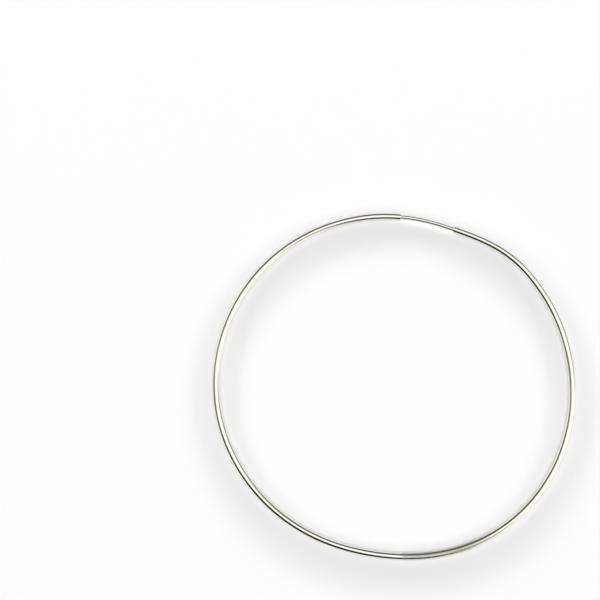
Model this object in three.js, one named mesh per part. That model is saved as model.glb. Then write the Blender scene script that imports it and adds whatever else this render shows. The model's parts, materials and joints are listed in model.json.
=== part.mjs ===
// Endless hoop earring: a thin hollow tube bent to a ring, and the ear wire that bridges the gap between
// the tube's two open ends. Millimetres, +Z up. The hoop lies flat: its underside is on z = 0, and the
// middle of its box in plan is the origin. Plan angles run anticlockwise from +X, in degrees.
import * as THREE from 'three';

// Driving dimensions
const hoopOutsideDiameter = 60; // over the tube, before the dents and swellings below
const tubeDiameter = 1.2;
const tubeWall = 0.16;
const wireClearance = 0.06; // all round the wire where it lies in the bore
const exposedWireLength = 9.2; // between the tube's two ends
const wireLengthInLeftEnd = 6; // hidden in the bore
const wireLengthInRightEnd = 5; // hidden in the bore
const closureAngle = 78; // middle of the exposed wire
const wireLeanShare = 0.7; // share of the clearance that the wire lies outwards by at the left end

// A tube this thin is easily pressed out of round. Each row is a swelling, or a flat where share is
// negative: share of the radius at its middle, fading smoothly to nothing at spread to either side.
const pressedOutOfRound = [
  { middle: 5, spread: 40, share: -0.012 },
  { middle: 50, spread: 20, share: 0.015 },
  { middle: 65, spread: 36, share: -0.017 },
  { middle: 120, spread: 45, share: 0.006 },
  { middle: 260, spread: 35, share: -0.005 },
  { middle: 300, spread: 45, share: 0.021 },
];

// How finely the round shapes are faceted
const sidesAround = 16; // a multiple of 4, so that a flat side faces down, up, in and out
const stepLength = 1.5; // along the tube and the wire

// Sizes that follow from those above
const roundRadius = (hoopOutsideDiameter - tubeDiameter) / 2;
const boreDiameter = tubeDiameter - 2 * tubeWall;
const wireDiameter = boreDiameter - 2 * wireClearance;

const fullTurn = 360;

// Distance from the hoop's centre to the middle of its tube at a plan angle.
function radiusAt(angle) {
  let shareOfRadius = 1;
  for (const { middle, spread, share } of pressedOutOfRound) {
    const away = Math.abs(THREE.MathUtils.euclideanModulo(angle - middle + fullTurn / 2, fullTurn) - fullTurn / 2);
    if (away < spread) {
      shareOfRadius += share * (1 + Math.cos((Math.PI * away) / spread)) / 2;
    }
  }
  return roundRadius * shareOfRadius;
}

// Plan angle that a length along the hoop takes up near the closure.
function angleOf(length) {
  return THREE.MathUtils.radToDeg(length / radiusAt(closureAngle));
}

// The tube starts at its left end and runs anticlockwise the long way round to its right end.
const leftEndAngle = closureAngle + angleOf(exposedWireLength) / 2;
const rightEndAngle = closureAngle - angleOf(exposedWireLength) / 2;

// How far the wire lies outwards of the middle of the bore: most in the left end, nothing in the right.
function leanAt(angle) {
  const mostLean = wireLeanShare * wireClearance;
  return mostLean * THREE.MathUtils.smoothstep(angle, rightEndAngle, leftEndAngle);
}

// The line that a round section is carried along, from one plan angle to another.
class HoopPath extends THREE.Curve {
  constructor(startAngle, endAngle, outwardsAt) {
    super();
    this.startAngle = startAngle;
    this.endAngle = endAngle;
    this.outwardsAt = outwardsAt;
  }

  getPoint(along, target = new THREE.Vector3()) {
    const angle = THREE.MathUtils.lerp(this.startAngle, this.endAngle, along);
    const radius = radiusAt(angle) + this.outwardsAt(angle);
    const turned = THREE.MathUtils.degToRad(angle);
    return target.set(radius * Math.cos(turned), radius * Math.sin(turned), tubeDiameter / 2);
  }
}

// Corners of a round section whose flat sides touch the circle of the given diameter.
function roundSection(diameter) {
  const halfSide = Math.PI / sidesAround;
  const cornerRadius = diameter / 2 / Math.cos(halfSide);
  return Array.from({ length: sidesAround }, (_, side) => {
    const corner = (2 * side + 1) * halfSide;
    return new THREE.Vector2(cornerRadius * Math.cos(corner), cornerRadius * Math.sin(corner));
  });
}

// A section carried along a path and cut square at both ends.
function carried(section, path) {
  const steps = Math.round(path.getLength() / stepLength);
  return new THREE.ExtrudeGeometry(section, { steps, extrudePath: path, bevelEnabled: false });
}

// The tube, bored all the way through and open at both ends.
function hoopTube() {
  const section = new THREE.Shape(roundSection(tubeDiameter));
  section.holes.push(new THREE.Path(roundSection(boreDiameter)));
  const centred = () => 0;
  const path = new HoopPath(leftEndAngle, rightEndAngle + fullTurn, centred);
  const silver = new THREE.MeshStandardMaterial({ color: 0xe9e7df, roughness: 0.12, metalness: 1 });
  const tube = new THREE.Mesh(carried(section, path), silver);
  tube.name = 'hoop_tube';
  return tube;
}

// The ear wire, from inside the tube's right end to inside its left end.
function earWire() {
  const section = new THREE.Shape(roundSection(wireDiameter));
  const path = new HoopPath(
    rightEndAngle - angleOf(wireLengthInRightEnd),
    leftEndAngle + angleOf(wireLengthInLeftEnd),
    leanAt,
  );
  const drawnSilver = new THREE.MeshStandardMaterial({ color: 0xe2e0d8, roughness: 0.16, metalness: 1 });
  const wire = new THREE.Mesh(carried(section, path), drawnSilver);
  wire.name = 'ear_wire';
  return wire;
}

const hoop = new THREE.Group();
hoop.add(hoopTube(), earWire());

// The middle of the hoop's box in plan goes to the origin, and its underside to z = 0.
const box = new THREE.Box3().setFromObject(hoop);
const middle = box.getCenter(new THREE.Vector3());
hoop.position.set(-middle.x, -middle.y, -box.min.z);

export default hoop;
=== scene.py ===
"""Looks of an endless hoop earring that lies flat on a pale floor.

A thin hollow tube is bent to a ring, and a finer wire closes the gap between its two open ends. Lengths are
in metres, +Z is up, and plan angles run anticlockwise from +X, in degrees.
"""

import json
import math

import bpy
import numpy as np
from bpy.props import FloatProperty, FloatVectorProperty, IntProperty, PointerProperty
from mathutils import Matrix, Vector


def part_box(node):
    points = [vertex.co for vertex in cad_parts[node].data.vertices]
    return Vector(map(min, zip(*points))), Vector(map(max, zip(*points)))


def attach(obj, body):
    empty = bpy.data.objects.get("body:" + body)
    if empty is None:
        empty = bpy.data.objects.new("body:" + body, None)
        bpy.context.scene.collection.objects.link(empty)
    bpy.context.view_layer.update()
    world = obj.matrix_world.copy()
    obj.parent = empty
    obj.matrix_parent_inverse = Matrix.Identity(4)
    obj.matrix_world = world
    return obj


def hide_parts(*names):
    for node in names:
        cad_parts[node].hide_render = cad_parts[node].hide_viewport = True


bl_info = {
    "name": "Endless Hoop Earring",
    "version": (1, 0, 0),
    "blender": (4, 5, 0),
    "location": "View3D > Sidebar > Hoop",
    "description": "A polished endless hoop earring with its ear wire, on a pale floor under soft light",
    "category": "Add Mesh",
}

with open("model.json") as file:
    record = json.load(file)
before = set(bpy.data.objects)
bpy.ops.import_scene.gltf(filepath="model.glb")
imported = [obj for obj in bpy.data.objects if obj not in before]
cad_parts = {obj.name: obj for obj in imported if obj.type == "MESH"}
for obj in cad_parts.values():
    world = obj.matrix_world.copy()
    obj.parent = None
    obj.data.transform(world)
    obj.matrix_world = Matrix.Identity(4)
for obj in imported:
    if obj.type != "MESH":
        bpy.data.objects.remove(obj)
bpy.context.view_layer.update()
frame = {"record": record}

MM = 0.001
FULL_TURN = 360.0
HALF_TURN = FULL_TURN / 2
QUARTER_TURN = FULL_TURN / 4
TUBE_LOW, TUBE_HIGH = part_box("hoop_tube")
WIRE_LOW, WIRE_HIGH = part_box("ear_wire")
SLOT_COLOURS = {row["slot"]: row["base_color"] for row in frame["record"]["materials"]}
WHITE = (1.0, 1.0, 1.0)
BLACK = (0.0, 0.0, 0.0)

# A tube this thin is easily pressed out of round. Each row is a swelling, or a flat where share is
# negative: share of the radius at the plan angle middle, fading smoothly to nothing at spread to either
# side of it. Both are in degrees.
PRESSED_OUT_OF_ROUND = (
    {"middle": 5, "spread": 40, "share": -0.012},
    {"middle": 50, "spread": 20, "share": 0.015},
    {"middle": 65, "spread": 36, "share": -0.017},
    {"middle": 120, "spread": 45, "share": 0.006},
    {"middle": 260, "spread": 35, "share": -0.005},
    {"middle": 300, "spread": 45, "share": 0.021},
)

# How finely slopes, edges, lengths and round ends are worked out. The first two are steps in degrees.
ANGLE_STEP = 0.01
EDGE_STEP = 0.05
LENGTH_STEPS = 2000
LIP_STEPS = 6
TIP_STEPS = 8

# How the silver is marked. The cells of the lines and of each of the scratches' two axes are counted for each
# millimetre along the piece and round it, and those of the waves and the cloud for each metre in space.
LINE_CELLS = {"along": 0.12, "round": 9.0}
SCRATCH_CELLS = ({"along": 0.5, "round": 2.0}, {"along": -3.0, "round": 14.0})
WAVE_CELLS = 420.0
CLOUD_CELLS = 190.0

# Noise runs from 0 to 1 round its middle, and a peak is where it rises from the first value past the second.
NOISE_MIDDLE = 0.5
SCRATCH_PEAK = (0.64, 0.72)
PATCH_PEAK = (0.45, 0.75)

# What the marks do. Dullness is a share of the way to the dull colour, here and below. The same colour serves
# the painted dark reflection in the dark stretch and the painted shade on the right end's lip.
SCRATCH_DEPTH_SHARE = 0.7
PATCH_DULLNESS = 0.08
LINE_ROUGHNESS = 0.02
PATCH_ROUGHNESS = 0.04
SCRATCH_ROUGHNESS = 0.05

# The dull, dark stretch, partly tarnish and partly a painted dark reflection. In millimetres, how far its
# edge wanders, how long its two ends take to fade, and between which lengths round the tube, from its
# underside, it sets in.
TARNISH_AND_PAINTED_REFLECTION_WANDER = 1.6
TARNISH_AND_PAINTED_REFLECTION_START_FADE = 0.3
TARNISH_AND_PAINTED_REFLECTION_STOP_FADE = 9.0
TARNISH_AND_PAINTED_REFLECTION_SIDE = (1.0, 1.8)
TARNISH_AND_PAINTED_REFLECTION_DULLNESS = 0.8
TARNISH_AND_PAINTED_REFLECTION_WAVE_DULLNESS = 0.2
TARNISH_ROUGHNESS = 0.28

# The raw silver in the bore. It also darkens the right end's lip as painted shade at the mouth, where the
# wire goes in. Its fade and the length that it starts before the lip are in millimetres.
BORE_AND_MOUTH_SHADE_FADE = 0.2
PAINTED_MOUTH_SHADE_LEAD = 0.1
BORE_AND_MOUTH_SHADE_DULLNESS = 0.6
BORE_ROUGHNESS = 0.3

# What the silver mirrors: dark parts of the room beside and between the soft light overhead. Each row is a
# soft-edged panel seen from the hoop, in degrees: its plan angle, its height above the floor, and half its
# width and height. Darkness is the share of the light that it takes away.
DARK_PANELS = (
    {"angle": -133, "height": 20, "half_width": 71, "half_height": 46, "darkness": 1.0},  # left wall
    {"angle": 100, "height": 33, "half_width": 38, "half_height": 33, "darkness": 0.93},  # back wall
    {"angle": 45, "height": 16, "half_width": 28, "half_height": 17, "darkness": 0.95},  # right back corner
    {"angle": 147, "height": 36, "half_width": 14, "half_height": 22, "darkness": 0.8},  # left back corner
    {"angle": -54, "height": 44, "half_width": 20, "half_height": 12, "darkness": 0.98},  # front right corner
)
PANEL_SHARPNESS = 6

# Half the width of the soft edge of the disc that lights the floor, as a difference of cosines
DISC_SOFTNESS = 0.05
FLOOR_ROUGHNESS = 0.9

# How near and how far the camera sees
NEAREST_SEEN = 10 * MM
FARTHEST_SEEN = 10.0


class HoopSizes(bpy.types.PropertyGroup):
    """Sizes of the tube and of the wire that closes it."""

    outside_diameter: FloatProperty(
        name="Outside diameter",
        description="Of the hoop, over the tube, before it was pressed out of round",
        default=60 * MM,
        unit="LENGTH",
    )
    tube_diameter: FloatProperty(
        name="Tube diameter",
        description="Of the hollow tube",
        default=TUBE_HIGH.z - TUBE_LOW.z,
        unit="LENGTH",
    )
    tube_wall: FloatProperty(
        name="Tube wall",
        description="Thickness of the tube's wall",
        default=0.16 * MM,
        unit="LENGTH",
    )
    edge_rounding: FloatProperty(
        name="Edge rounding",
        description="Radius left by deburring the tube's ends",
        default=0.07 * MM,
        unit="LENGTH",
    )
    wire_diameter: FloatProperty(
        name="Wire diameter",
        description="Of the ear wire",
        default=WIRE_HIGH.z - WIRE_LOW.z,
        unit="LENGTH",
    )
    wire_lean: FloatProperty(
        name="Wire lean",
        description="How far outwards the wire lies in the left end",
        default=0.042 * MM,
        unit="LENGTH",
    )
    exposed_wire: FloatProperty(
        name="Exposed wire",
        description="Length of wire between the tube's ends",
        default=9.2 * MM,
        unit="LENGTH",
    )
    wire_in_left_end: FloatProperty(
        name="Wire in left end",
        description="Length hidden in the bore",
        default=6 * MM,
        unit="LENGTH",
    )
    wire_in_right_end: FloatProperty(
        name="Wire in right end",
        description="Length hidden in the bore",
        default=5 * MM,
        unit="LENGTH",
    )
    closure_angle: FloatProperty(
        name="Closure angle",
        description="Plan angle of the middle of the exposed wire, in degrees",
        default=78,
    )
    tube_steps: IntProperty(name="Tube steps", description="Facets along the tube", default=900)
    wire_steps: IntProperty(name="Wire steps", description="Rings on the wire between its tips", default=148)
    sides_around: IntProperty(name="Sides around", description="Facets round a section", default=48)


class HoopFinish(bpy.types.PropertyGroup):
    """Colours and polish of the silver."""

    tube_colour: FloatVectorProperty(
        name="Tube colour",
        description="Polished silver",
        default=SLOT_COLOURS["polished_tube"],
        subtype="COLOR",
    )
    wire_colour: FloatVectorProperty(
        name="Wire colour",
        description="Drawn silver",
        default=SLOT_COLOURS["drawn_wire"],
        subtype="COLOR",
    )
    # Colour of dull silver. It is also used for the painted dark reflection in the dark stretch and the
    # painted shade on the right end's lip.
    dull_and_painted_dark_colour: FloatVectorProperty(
        name="Tarnish colour",
        description="Where the silver is dull",
        default=(0.42, 0.42, 0.35),
        subtype="COLOR",
    )
    # The dark stretch on the tube: partly tarnish and partly a painted dark reflection.
    tarnish_and_painted_reflection_start: FloatProperty(
        name="Tarnish start",
        description="Plan angle of the dull stretch's sharp end, in degrees",
        default=270.5,
    )
    tarnish_and_painted_reflection_stop: FloatProperty(
        name="Tarnish stop",
        description="Plan angle where the dull stretch has faded out, in degrees",
        default=306,
    )
    tube_roughness: FloatProperty(
        name="Tube roughness",
        description="Of the polished tube",
        default=0.025,
        subtype="FACTOR",
        min=0,
        max=1,
    )
    wire_roughness: FloatProperty(
        name="Wire roughness",
        description="Of the drawn wire",
        default=0.035,
        subtype="FACTOR",
        min=0,
        max=1,
    )
    hairline_depth: FloatProperty(
        name="Hairline depth",
        description="Depth of the polishing lines",
        default=0.0015 * MM,
        unit="LENGTH",
    )
    wave_height: FloatProperty(
        name="Wave height",
        description="Of the gentle waves in the silver",
        default=0.006 * MM,
        unit="LENGTH",
    )


class HoopStage(bpy.types.PropertyGroup):
    """Floor, light and camera."""

    floor_width: FloatProperty(
        name="Floor width",
        description="Side of the square floor",
        default=6.0,
        unit="LENGTH",
    )
    floor_colour: FloatVectorProperty(
        name="Floor colour",
        description="Pale matt surface",
        default=(0.865, 0.86, 0.862),
        subtype="COLOR",
    )
    overhead_colour: FloatVectorProperty(
        name="Overhead colour",
        description="Soft light from above, which the silver mirrors",
        default=(1.0, 1.0, 0.95),
        subtype="COLOR",
    )
    room_colour: FloatVectorProperty(
        name="Room colour",
        description="Dark parts of the room, which the silver mirrors",
        default=(0.015, 0.015, 0.009),
        subtype="COLOR",
    )
    overhead_strength: FloatProperty(
        name="Overhead strength",
        description="Of the light from above",
        default=1.1,
    )
    disc_share: FloatProperty(
        name="Disc share",
        description="Share of the floor's brightness from the soft disc round the camera",
        default=0.555,
    )
    disc_half_width: FloatProperty(
        name="Disc half width",
        description="Of the soft disc round the camera, in degrees",
        default=22,
    )
    lamp_count: IntProperty(
        name="Lamp count",
        description="Low lamps in the circle round the hoop",
        default=8,
    )
    lamp_distance: FloatProperty(
        name="Lamp distance",
        description="From the middle of the hoop to each low lamp",
        default=1.5,
        unit="LENGTH",
    )
    front_lamp_elevation: FloatProperty(
        name="Front lamp elevation",
        description="Above the floor, in degrees",
        default=30,
    )
    back_lamp_elevation: FloatProperty(
        name="Back lamp elevation",
        description="Above the floor, in degrees",
        default=9,
    )
    front_lamp_share: FloatProperty(
        name="Front lamp share",
        description="Share of the floor's brightness that the front lamp gives",
        default=0.037,
    )
    back_lamp_share: FloatProperty(
        name="Back lamp share",
        description="Share of the floor's brightness that the back lamp gives",
        default=0.085,
    )
    lamp_width: FloatProperty(
        name="Lamp width",
        description="Of each low lamp",
        default=1.2,
        unit="LENGTH",
    )
    lamp_height: FloatProperty(
        name="Lamp height",
        description="Of each low lamp, from its lower to its upper edge",
        default=0.16,
        unit="LENGTH",
    )
    lens: FloatProperty(
        name="Lens",
        description="Focal length of the camera, in millimetres",
        default=120,
    )
    camera_distance: FloatProperty(
        name="Camera distance",
        description="From the point that it aims at",
        default=334 * MM,
        unit="LENGTH",
    )
    camera_elevation: FloatProperty(
        name="Camera elevation",
        description="Above the floor, in degrees",
        default=69,
    )
    aim: FloatVectorProperty(
        name="Aim",
        description="Point on the floor in the middle of the picture",
        default=(-15.415 * MM, 14.537 * MM, 0),
        subtype="XYZ",
        unit="LENGTH",
    )


class Value:
    """A number in a shader. Arithmetic on it, with numbers or other values, adds Math nodes."""

    def __init__(self, shader, socket):
        self.shader = shader
        self.socket = socket

    def combine(self, operation, *numbers):
        return self.shader.math(operation, *numbers)

    def __add__(self, other):
        return self.combine("ADD", self, other)

    def __radd__(self, other):
        return self.combine("ADD", other, self)

    def __sub__(self, other):
        return self.combine("SUBTRACT", self, other)

    def __rsub__(self, other):
        return self.combine("SUBTRACT", other, self)

    def __mul__(self, other):
        return self.combine("MULTIPLY", self, other)

    def __rmul__(self, other):
        return self.combine("MULTIPLY", other, self)

    def __pow__(self, other):
        return self.combine("POWER", self, other)

    def __rpow__(self, other):
        return self.combine("POWER", other, self)


class Shader:
    """Adds nodes to one node tree, each with its settings first and then its sockets."""

    def __init__(self, tree):
        self.tree = tree
        self.tree.nodes.clear()

    def node(self, kind, settings=None, sockets=None):
        made = self.tree.nodes.new(kind)
        for setting, value in (settings or {}).items():
            setattr(made, setting, value)
        for socket, value in (sockets or {}).items():
            self.feed(made.inputs[socket], value)
        return made

    def feed(self, socket, value):
        if isinstance(value, Value):
            value = value.socket
        if isinstance(value, bpy.types.NodeSocket):
            self.tree.links.new(value, socket)
        else:
            socket.default_value = value

    def math(self, operation, *numbers):
        made = self.node("ShaderNodeMath", {"operation": operation}, dict(enumerate(numbers)))
        return Value(self, made.outputs[0])

    def parts(self, vector):
        """The three coordinates of a vector, as values."""
        made = self.node("ShaderNodeSeparateXYZ", sockets={"Vector": vector})
        return [Value(self, output) for output in made.outputs]

    def dot(self, first, second):
        """The dot product of two vectors, as a value."""
        made = self.node("ShaderNodeVectorMath", {"operation": "DOT_PRODUCT"}, {0: first, 1: second})
        return Value(self, made.outputs["Value"])

    def vector(self, x, y, z):
        return self.node("ShaderNodeCombineXYZ", sockets={"X": x, "Y": y, "Z": z}).outputs["Vector"]

    def smooth_step(self, value, low, high):
        """0 below low, 1 above high, and a smooth rise between."""
        made = self.node(
            "ShaderNodeMapRange",
            {"interpolation_type": "SMOOTHSTEP"},
            {"Value": value, "From Min": low, "From Max": high},
        )
        return Value(self, made.outputs["Result"])

    def noise(self, vector, scale=1.0, detail=2.0, roughness=0.5):
        made = self.node(
            "ShaderNodeTexNoise",
            {"noise_dimensions": "3D"},
            {"Vector": vector, "Scale": scale, "Detail": detail, "Roughness": roughness},
        )
        return Value(self, made.outputs["Fac"])

    def mix_colours(self, share, first, second):
        """First where share is 0 and second where it is 1. A Mix node's two colour inputs are its sixth and
        seventh, counted from 0, and its colour output is the second."""
        made = self.node("ShaderNodeMix", {"data_type": "RGBA"}, {0: share, 6: first, 7: second})
        return made.outputs[2]


def opaque(colour):
    """The colour with full alpha, as a colour socket takes it."""
    return (*colour, 1.0)


def radius_at(angle, sizes):
    """Distance from the hoop's centre to the middle of its tube: the round radius times one plus each row's
    share, which fades out from its middle as a raised cosine."""
    share_of_radius = np.ones_like(angle)
    for row in PRESSED_OUT_OF_ROUND:
        away = np.abs((angle - row["middle"] + HALF_TURN) % FULL_TURN - HALF_TURN)
        fade = (1 + np.cos(np.pi * np.minimum(away / row["spread"], 1))) / 2
        share_of_radius += row["share"] * fade
    return (sizes.outside_diameter - sizes.tube_diameter) / 2 * share_of_radius


def path_at(angle, outwards, sizes):
    """Plan point of the middle line: the radius at that angle plus outwards, turned by the angle."""
    reach = radius_at(angle, sizes) + outwards
    turned = np.radians(angle)
    return np.stack([reach * np.cos(turned), reach * np.sin(turned)], axis=-1)


def outward_at(angle, sizes):
    """Unit plan vector square to the middle line, away from the hoop's centre: the path's step over one
    small step of the angle, turned clockwise by a quarter turn."""
    step = path_at(angle + ANGLE_STEP / 2, 0, sizes) - path_at(angle - ANGLE_STEP / 2, 0, sizes)
    step /= np.linalg.norm(step, axis=-1, keepdims=True)
    return np.stack([step[..., 1], -step[..., 0]], axis=-1)


def plan_shift(sizes):
    """From the hoop's own centre to the frame's origin: the middle of the CAD tube's box less the middle of
    the box of the tube's outer edge."""
    angle = np.arange(0, FULL_TURN, EDGE_STEP)
    edge = path_at(angle, 0, sizes) + sizes.tube_diameter / 2 * outward_at(angle, sizes)
    cad_middle = np.array((TUBE_LOW + TUBE_HIGH) / 2)[:2]
    return cad_middle - (edge.min(axis=0) + edge.max(axis=0)) / 2


def end_angles(sizes):
    """Plan angles of the tube's right and left ends, half the exposed wire to either side of the closure, and
    the degrees that a metre takes up there."""
    per_length = math.degrees(1 / radius_at(np.array(float(sizes.closure_angle)), sizes))
    half_gap = sizes.exposed_wire / 2 * per_length
    return sizes.closure_angle - half_gap, sizes.closure_angle + half_gap, per_length


def length_to(angle, sizes):
    """Length of the middle line from the tube's left end to a plan angle, in millimetres: the sum of many
    short straight steps."""
    left_end = end_angles(sizes)[1]
    angles = np.linspace(left_end, angle, LENGTH_STEPS + 1)
    return float(np.linalg.norm(np.diff(path_at(angles, 0, sizes), axis=0), axis=1).sum() / MM)


def add_piece(name, points, faces, corner_uvs):
    """A smooth-shaded mesh object at the origin, with its points, quads or triangles, and corner UVs."""
    mesh = bpy.data.meshes.new(name)
    mesh.from_pydata(points.tolist(), [], faces)
    mesh.polygons.foreach_set("use_smooth", np.ones(len(mesh.polygons), dtype=bool))
    mesh.uv_layers.new(name="along_and_round").data.foreach_set("uv", corner_uvs.astype(np.float32).ravel())
    mesh.update()
    piece = bpy.data.objects.new(name, mesh)
    bpy.context.scene.collection.objects.link(piece)
    return piece


def carried_rings(angle, outwards, reach, sizes):
    """Rings of points round the middle line. Point = middle line at the angle + reach times (cosine of the
    turn times outward + sine of the turn times up). The turn starts at the underside."""
    turn = np.linspace(0, 2 * np.pi, sizes.sides_around, endpoint=False) - np.pi / 2
    middle = path_at(angle, outwards, sizes) + plan_shift(sizes)
    across = outward_at(angle, sizes)
    plan = middle[:, None, :] + (reach[:, None] * np.cos(turn))[:, :, None] * across[:, None, :]
    height = sizes.tube_diameter / 2 + reach[:, None] * np.sin(turn)
    return np.concatenate([plan, height[:, :, None]], axis=2)


def ring_quads(rings, around, closed_along):
    """Corner numbers of the quads between neighbouring rings, and their corner places as (ring, side)."""
    last_ring = rings if closed_along else rings - 1
    ring, side = np.meshgrid(np.arange(last_ring), np.arange(around), indexing="ij")
    places = np.stack(
        [
            np.stack([ring, side], axis=-1),
            np.stack([ring + 1, side], axis=-1),
            np.stack([ring + 1, side + 1], axis=-1),
            np.stack([ring, side + 1], axis=-1),
        ],
        axis=2,
    ).reshape(-1, 4, 2)
    corners = places[..., 0] % rings * around + places[..., 1] % around
    return corners, places


def fan_places(ring, around):
    """Corner places, as (ring, side), of the triangles between a ring and the pole that closes it. The pole
    takes the place of the side that its triangle starts at."""
    side = np.arange(around)
    sides = np.stack([side, side, side + 1], axis=-1)
    return np.stack([np.full_like(sides, ring), sides], axis=-1)


def uvs_of(places, along, sizes):
    """UVs in millimetres: the length along the piece, and the length round it at the tube's surface."""
    round_length = np.pi * sizes.tube_diameter / sizes.sides_around
    uvs = np.stack([along[places[..., 0]], places[..., 1] * round_length], axis=-1) / MM
    return uvs.reshape(-1, 2)


def tube_profile(sizes):
    """Rings of the tube as one loop: along the outer wall, round the right end's rounded lip, back along the
    bore and round the left end's lip. Gives each ring's plan angle and its distance from the middle line."""
    right_end, left_end, per_length = end_angles(sizes)
    outer = sizes.tube_diameter / 2
    bore = outer - sizes.tube_wall
    rounding = sizes.edge_rounding
    quarter = np.radians(np.linspace(0, QUARTER_TURN, LIP_STEPS + 1))
    beyond = np.concatenate([np.sin(quarter), np.cos(quarter)]) - 1
    lip_reach = np.concatenate(
        [outer - rounding + rounding * np.cos(quarter), bore + rounding - rounding * np.sin(quarter)]
    )
    lip_angle = beyond * rounding * per_length
    start = left_end + rounding * per_length
    stop = right_end + FULL_TURN - rounding * per_length
    wall_angle = np.linspace(start, stop, sizes.tube_steps + 1)[1:-1]
    angle = np.concatenate(
        [wall_angle, right_end + FULL_TURN + lip_angle, wall_angle[::-1], (left_end - lip_angle)[::-1]]
    )
    reach = np.concatenate(
        [np.full(wall_angle.size, outer), lip_reach, np.full(wall_angle.size, bore), lip_reach[::-1]]
    )
    return angle, reach


def make_tube_mesh(sizes):
    """The hollow tube as a closed surface: rings of tube_profile, joined into a loop."""
    angle, reach = tube_profile(sizes)
    points = carried_rings(angle, 0, reach, sizes)
    corners, places = ring_quads(angle.size, sizes.sides_around, closed_along=True)
    middle = path_at(angle, 0, sizes)
    step_along = np.linalg.norm(np.diff(middle, axis=0, append=middle[:1]), axis=1)
    step_across = np.diff(reach, append=reach[:1])
    along = np.concatenate([[0], np.cumsum(np.hypot(step_along, step_across))])
    uvs = uvs_of(places, along, sizes)
    return add_piece("polished_hoop_tube", points.reshape(-1, 3), corners.tolist(), uvs)


def wire_profile(sizes):
    """Rings of the wire from its right tip to its left one. At each tip the reach follows a half circle down
    to nothing. The lean rises as a smooth step, 3 times share squared less 2 times share cubed, from the
    tube's right end to its left one. Gives each ring's plan angle, distance from the middle line and lean."""
    right_end, left_end, per_length = end_angles(sizes)
    radius = sizes.wire_diameter / 2
    first = right_end - sizes.wire_in_right_end * per_length
    last = left_end + sizes.wire_in_left_end * per_length
    tip = np.radians(np.linspace(0, QUARTER_TURN, TIP_STEPS + 1))
    tip_angle = (1 - np.cos(tip)) * radius * per_length
    tip_reach = radius * np.sin(tip)
    body = np.linspace(first + radius * per_length, last - radius * per_length, sizes.wire_steps + 2)[1:-1]
    angle = np.concatenate([first + tip_angle, body, (last - tip_angle)[::-1]])
    reach = np.concatenate([tip_reach, np.full(body.size, radius), tip_reach[::-1]])
    share = np.clip((angle - right_end) / (left_end - right_end), 0, 1)
    lean = sizes.wire_lean * share * share * (3 - 2 * share)
    return angle, reach, lean


def make_wire_mesh(sizes):
    """The ear wire as a closed surface: rings of wire_profile, with a single point in place of the first and
    the last, and a fan of triangles from each point to the ring beside it."""
    angle, reach, lean = wire_profile(sizes)
    all_rings = carried_rings(angle, lean, reach, sizes)
    poles = all_rings[[0, -1], 0]
    rings = all_rings[1:-1]
    around = sizes.sides_around
    corners, places = ring_quads(len(rings), around, closed_along=False)
    side = np.arange(around)
    next_side = (side + 1) % around
    first_pole = np.full_like(side, len(rings) * around)
    last_ring = (len(rings) - 1) * around
    first_fan = np.stack([first_pole, side, next_side], axis=-1)
    last_fan = np.stack([last_ring + side, first_pole + 1, last_ring + next_side], axis=-1)
    per_length = end_angles(sizes)[2]
    along = (angle[1:-1] - angle[0]) / per_length
    all_places = (places, fan_places(0, around), fan_places(len(rings) - 1, around))
    uvs = np.concatenate([uvs_of(part, along, sizes) for part in all_places])
    points = np.concatenate([rings.reshape(-1, 3), poles])
    faces = corners.tolist() + first_fan.tolist() + last_fan.tolist()
    return add_piece("drawn_ear_wire", points, faces, uvs)


def polishing_lines(shader, along, around):
    """Fine lines along the piece: noise that is drawn out lengthwise."""
    drawn_out = shader.vector(along * LINE_CELLS["along"], around * LINE_CELLS["round"], 0.0)
    return shader.noise(drawn_out, detail=4.0, roughness=0.6)


def slanted_scratches(shader, along, around):
    """A few scratches that slant across the piece: the peaks of noise that is drawn out askew. Each of its
    axes = length along times the axis's cells along + length round times its cells round."""
    askew = [along * axis["along"] + around * axis["round"] for axis in SCRATCH_CELLS]
    return shader.smooth_step(shader.noise(shader.vector(*askew, 0.0)), *SCRATCH_PEAK)


def tarnish_and_painted_reflection_share(shader, along, around, cloud, stretch):
    """1 in the dark stretch and 0 elsewhere. The stretch is partly tarnish and partly a painted dark
    reflection. It has a ragged edge, starts sharply, fades out slowly, and covers the top and the inner side
    of the tube."""
    first, last = stretch
    wander = cloud - NOISE_MIDDLE
    ragged = along + wander * TARNISH_AND_PAINTED_REFLECTION_WANDER
    started = shader.smooth_step(ragged, first - TARNISH_AND_PAINTED_REFLECTION_START_FADE / 2, first + TARNISH_AND_PAINTED_REFLECTION_START_FADE / 2)
    not_over = 1 - shader.smooth_step(ragged, last - TARNISH_AND_PAINTED_REFLECTION_STOP_FADE, last)
    return started * not_over * shader.smooth_step(around + wander, *TARNISH_AND_PAINTED_REFLECTION_SIDE)


def bore_and_mouth_shade_share(shader, along, stretch):
    """1 in the bore and 0 on the outside, by the length along the tube's loop. It rises across the right
    end's lip, where it is painted shade at the mouth.
    """
    first, last = stretch
    started = shader.smooth_step(along, first, first + BORE_AND_MOUTH_SHADE_FADE)
    return started * (1 - shader.smooth_step(along, last - BORE_AND_MOUTH_SHADE_FADE, last))


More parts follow.
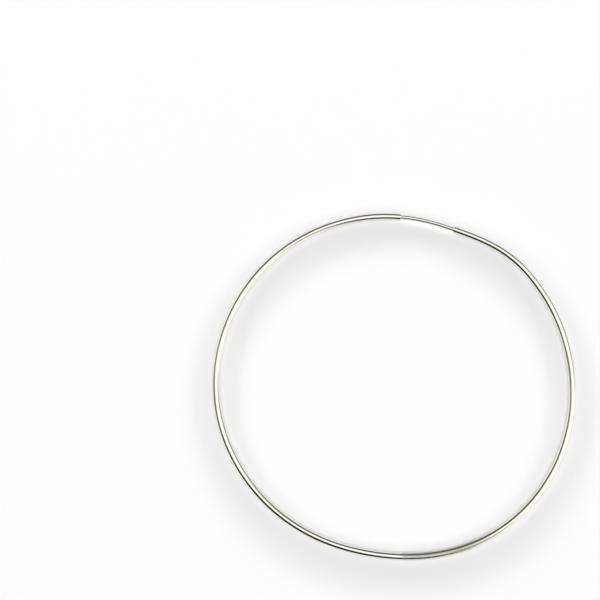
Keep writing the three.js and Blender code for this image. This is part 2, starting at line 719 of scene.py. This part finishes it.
def silver(name, colour, polish, finish, tarnish_and_painted_reflection=None, bore=None):
    """Silver with fine lines along the piece, a few slanting scratches, gentle waves and faint dull patches.
    The last two arguments are the first and last length, in millimetres along the UVs, of the dark stretch,
    which is partly tarnish and partly a painted dark reflection, and of the raw bore, which reaches over the
    right end's lip as painted shade at the mouth."""
    material = bpy.data.materials.new(name)
    material.use_nodes = True
    shader = Shader(material.node_tree)
    coordinates = shader.node("ShaderNodeTexCoord")
    place = coordinates.outputs["Object"]
    along, around, _ = shader.parts(coordinates.outputs["UV"])
    lines = polishing_lines(shader, along, around)
    scratches = slanted_scratches(shader, along, around)
    waves = shader.noise(place, WAVE_CELLS, detail=1.0)
    cloud = shader.noise(place, CLOUD_CELLS, detail=3.0)
    patches = shader.smooth_step(cloud, *PATCH_PEAK)
    height = (lines - scratches * SCRATCH_DEPTH_SHARE) * finish.hairline_depth + waves * finish.wave_height
    bumped = shader.node("ShaderNodeBump", sockets={"Strength": 1.0, "Distance": 1.0, "Height": height})
    dull = patches * PATCH_DULLNESS
    roughness = polish + lines * LINE_ROUGHNESS + patches * PATCH_ROUGHNESS + scratches * SCRATCH_ROUGHNESS
    # The dark stretch: partly tarnish and partly a painted dark reflection.
    if tarnish_and_painted_reflection:
        share = tarnish_and_painted_reflection_share(shader, along, around, cloud, tarnish_and_painted_reflection)
        dull = dull + share * (TARNISH_AND_PAINTED_REFLECTION_DULLNESS + waves * TARNISH_AND_PAINTED_REFLECTION_WAVE_DULLNESS)
        roughness = roughness + share * TARNISH_ROUGHNESS
    # Raw silver in the bore, with painted shade on the right end's lip.
    if bore:
        share = bore_and_mouth_shade_share(shader, along, bore)
        dull = dull + share * BORE_AND_MOUTH_SHADE_DULLNESS
        roughness = roughness + share * BORE_ROUGHNESS
    surface = shader.node(
        "ShaderNodeBsdfPrincipled",
        sockets={
            "Metallic": 1.0,
            "Base Color": shader.mix_colours(dull, opaque(colour), opaque(finish.dull_and_painted_dark_colour)),
            "Roughness": roughness,
            "Normal": bumped.outputs["Normal"],
        },
    )
    shader.node("ShaderNodeOutputMaterial", sockets={"Surface": surface.outputs["BSDF"]})
    return material


def tube_silver(sizes, finish):
    """The tube's silver. Lengths along it run over the outside and on through the bore, back to the start."""
    # The dark stretch, partly tarnish and partly a painted dark reflection, by its lengths along the tube.
    tarnish_and_painted_reflection = (length_to(finish.tarnish_and_painted_reflection_start, sizes), length_to(finish.tarnish_and_painted_reflection_stop, sizes))
    right_end = end_angles(sizes)[0]
    outside = length_to(right_end + FULL_TURN, sizes)
    # Starting before the right end's lip paints shade at the mouth.
    bore = (outside - PAINTED_MOUTH_SHADE_LEAD, 2 * outside)
    return silver("polished_silver", finish.tube_colour, finish.tube_roughness, finish, tarnish_and_painted_reflection, bore)


def dress(piece, material, node):
    """Gives the piece its material, puts it on the hoop's body and lets it stand for its CAD node."""
    piece.data.materials.append(material)
    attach(piece, "root")
    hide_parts(node)


class HOOP_OT_make_tube(bpy.types.Operator):
    """Makes the hollow tube, bent to a ring and cut square at both ends."""

    bl_idname = "hoop.make_tube"
    bl_label = "Make the tube"

    def execute(self, context):
        scene = context.scene
        piece = make_tube_mesh(scene.hoop_sizes)
        material = tube_silver(scene.hoop_sizes, scene.hoop_finish)
        dress(piece, material, "hoop_tube")
        return {"FINISHED"}


class HOOP_OT_make_wire(bpy.types.Operator):
    """Makes the ear wire, which runs into both ends of the tube."""

    bl_idname = "hoop.make_wire"
    bl_label = "Make the ear wire"

    def execute(self, context):
        finish = context.scene.hoop_finish
        piece = make_wire_mesh(context.scene.hoop_sizes)
        material = silver("drawn_silver", finish.wire_colour, finish.wire_roughness, finish)
        dress(piece, material, "ear_wire")
        return {"FINISHED"}


def make_floor(stage):
    """The square floor at the height of the hoop's underside."""
    half = stage.floor_width / 2
    corners = [[-half, -half, 0], [half, -half, 0], [half, half, 0], [-half, half, 0]]
    mesh = bpy.data.meshes.new("pale_floor")
    mesh.from_pydata(corners, [], [[0, 1, 2, 3]])
    floor = bpy.data.objects.new("pale_floor", mesh)
    bpy.context.scene.collection.objects.link(floor)
    material = bpy.data.materials.new("pale_floor")
    material.use_nodes = True
    shader = Shader(material.node_tree)
    surface = shader.node(
        "ShaderNodeBsdfPrincipled",
        sockets={"Base Color": opaque(stage.floor_colour), "Roughness": FLOOR_ROUGHNESS},
    )
    shader.node("ShaderNodeOutputMaterial", sockets={"Surface": surface.outputs["BSDF"]})
    mesh.materials.append(material)


def facing(angle, height):
    """Unit vector towards a plan angle and a height above the floor, both in degrees."""
    turned = math.radians(angle)
    raised = math.radians(height)
    reach = math.cos(raised)
    return Vector((reach * math.cos(turned), reach * math.sin(turned), math.sin(raised)))


def floor_whiteness(stage):
    """Mean of the floor colour's red, green and blue."""
    return sum(stage.floor_colour) / len(stage.floor_colour)


def panel_share(shader, direction, row):
    """How much of a panel lies in a direction. Across is the angle from the panel's middle round the panel's
    own upright, and height the angle above the plane square to that upright. From the middle = (across / half
    width) squared + (height / half height) squared. The share is exp(-(from the middle to the power of the
    sharpness)): one inside, nothing outside, softly edged."""
    middle = facing(row["angle"], row["height"])
    upright = facing(row["angle"] + HALF_TURN, QUARTER_TURN - row["height"])
    sideways = upright.cross(middle)
    across = shader.math("ARCTAN2", shader.dot(direction, sideways), shader.dot(direction, middle))
    height = shader.math("ARCSINE", shader.dot(direction, upright))
    across_share = across * (1 / math.radians(row["half_width"]))
    height_share = height * (1 / math.radians(row["half_height"]))
    from_middle = across_share * across_share + height_share * height_share
    return shader.math("EXPONENT", 0 - from_middle**PANEL_SHARPNESS)


def mirrored_light(shader, direction, stage):
    """What the silver mirrors: soft light all over, less each dark panel."""
    light = 1.0
    for row in DARK_PANELS:
        light = light * (1 - panel_share(shader, direction, row) * row["darkness"])
    return shader.mix_colours(light, opaque(stage.room_colour), opaque(stage.overhead_colour))


def floor_light(shader, direction, stage):
    """What lights the floor from above: a soft disc round the camera, so that the shadow right beside the
    tube hides behind it. Light of the disc = its share of the floor's brightness over the product of the
    floor's whiteness, the squared sine of the disc's half width, the sine of its height and the overhead
    strength."""
    towards_disc = facing(-QUARTER_TURN, stage.camera_elevation)
    disc_edge = math.cos(math.radians(stage.disc_half_width))
    disc_fill = floor_whiteness(stage) * (1 - disc_edge * disc_edge) * towards_disc.z
    disc_light = stage.disc_share / (disc_fill * stage.overhead_strength)
    nearness = shader.dot(direction, towards_disc)
    disc = shader.smooth_step(nearness, disc_edge - DISC_SOFTNESS, disc_edge + DISC_SOFTNESS)
    return shader.mix_colours(disc, opaque(BLACK), opaque((disc_light, disc_light, disc_light)))


def make_surroundings(stage):
    """The light from all round: one that the silver mirrors and one that lights the floor. The camera itself
    sees plain white beyond the floor."""
    world = bpy.data.worlds.new("studio")
    bpy.context.scene.world = world
    world.use_nodes = True
    shader = Shader(world.node_tree)
    direction = shader.node("ShaderNodeTexCoord").outputs["Generated"]
    path = shader.node("ShaderNodeLightPath")
    lighting = floor_light(shader, direction, stage)
    mirrored = mirrored_light(shader, direction, stage)
    unseen = shader.mix_colours(path.outputs["Is Glossy Ray"], lighting, mirrored)
    colour = shader.mix_colours(path.outputs["Is Camera Ray"], unseen, opaque(WHITE))
    background = shader.node(
        "ShaderNodeBackground", sockets={"Color": colour, "Strength": stage.overhead_strength}
    )
    shader.node("ShaderNodeOutputWorld", sockets={"Surface": background.outputs["Background"]})


def make_lamp(angle, stage):
    """A wide low lamp that faces the hoop, which the silver doesn't mirror. Backness = (1 + sine of the plan
    angle) / 2. From front to back the share goes straight and the elevation by equal factors. Power = share
    times pi squared times distance squared, over the floor's whiteness times the sine of the elevation."""
    backness = (1 + math.sin(math.radians(angle))) / 2
    share = stage.front_lamp_share + (stage.back_lamp_share - stage.front_lamp_share) * backness
    elevation = stage.front_lamp_elevation ** (1 - backness) * stage.back_lamp_elevation**backness
    name = f"lamp_at_{angle:.0f}_degrees"
    lamp = bpy.data.lights.new(name, "AREA")
    lamp.shape = "RECTANGLE"
    lamp.size = stage.lamp_width
    lamp.size_y = stage.lamp_height
    towards = facing(angle, elevation)
    lamp.energy = share * (math.pi * stage.lamp_distance) ** 2 / (floor_whiteness(stage) * towards.z)
    holder = bpy.data.objects.new(name, lamp)
    holder.location = towards * stage.lamp_distance
    holder.rotation_euler = towards.to_track_quat("Z", "Y").to_euler()
    holder.visible_glossy = False
    holder.visible_camera = False
    bpy.context.scene.collection.objects.link(holder)


def make_camera(stage):
    """Camera above the near edge, aimed at a point on the floor."""
    elevation = math.radians(stage.camera_elevation)
    camera = bpy.data.cameras.new("camera")
    camera.lens = stage.lens
    camera.clip_start = NEAREST_SEEN
    camera.clip_end = FARTHEST_SEEN
    viewer = bpy.data.objects.new("camera", camera)
    viewer.location = (
        stage.aim[0],
        stage.aim[1] - stage.camera_distance * math.cos(elevation),
        stage.aim[2] + stage.camera_distance * math.sin(elevation),
    )
    viewer.rotation_euler = (math.pi / 2 - elevation, 0, 0)
    bpy.context.scene.collection.objects.link(viewer)
    bpy.context.scene.camera = viewer


class HOOP_OT_make_stage(bpy.types.Operator):
    """Makes the floor, the soft light round it and the camera."""

    bl_idname = "hoop.make_stage"
    bl_label = "Make the stage"

    def execute(self, context):
        stage = context.scene.hoop_stage
        make_floor(stage)
        make_surroundings(stage)
        for lamp in range(stage.lamp_count):
            make_lamp(FULL_TURN * lamp / stage.lamp_count, stage)
        make_camera(stage)
        context.scene.view_settings.view_transform = "Standard"
        return {"FINISHED"}


OPERATORS = (HOOP_OT_make_tube, HOOP_OT_make_wire, HOOP_OT_make_stage)


class HOOP_PT_panel(bpy.types.Panel):
    """Lists the hoop's sizes, finish and stage, and what makes them."""

    bl_label = "Endless hoop"
    bl_idname = "HOOP_PT_panel"
    bl_space_type = "VIEW_3D"
    bl_region_type = "UI"
    bl_category = "Hoop"

    def draw(self, context):
        for operator in OPERATORS:
            self.layout.operator(operator.bl_idname)
        for group in (context.scene.hoop_sizes, context.scene.hoop_finish, context.scene.hoop_stage):
            box = self.layout.box()
            for name in group.__annotations__:
                box.prop(group, name)


CLASSES = (HoopSizes, HoopFinish, HoopStage, *OPERATORS, HOOP_PT_panel)


def register():
    for item in CLASSES:
        bpy.utils.register_class(item)
    bpy.types.Scene.hoop_sizes = PointerProperty(type=HoopSizes)
    bpy.types.Scene.hoop_finish = PointerProperty(type=HoopFinish)
    bpy.types.Scene.hoop_stage = PointerProperty(type=HoopStage)


def unregister():
    del bpy.types.Scene.hoop_stage
    del bpy.types.Scene.hoop_finish
    del bpy.types.Scene.hoop_sizes
    for item in reversed(CLASSES):
        bpy.utils.unregister_class(item)


def main():
    register()
    bpy.ops.hoop.make_tube()
    bpy.ops.hoop.make_wire()
    bpy.ops.hoop.make_stage()


if __name__ == "__main__":
    main()
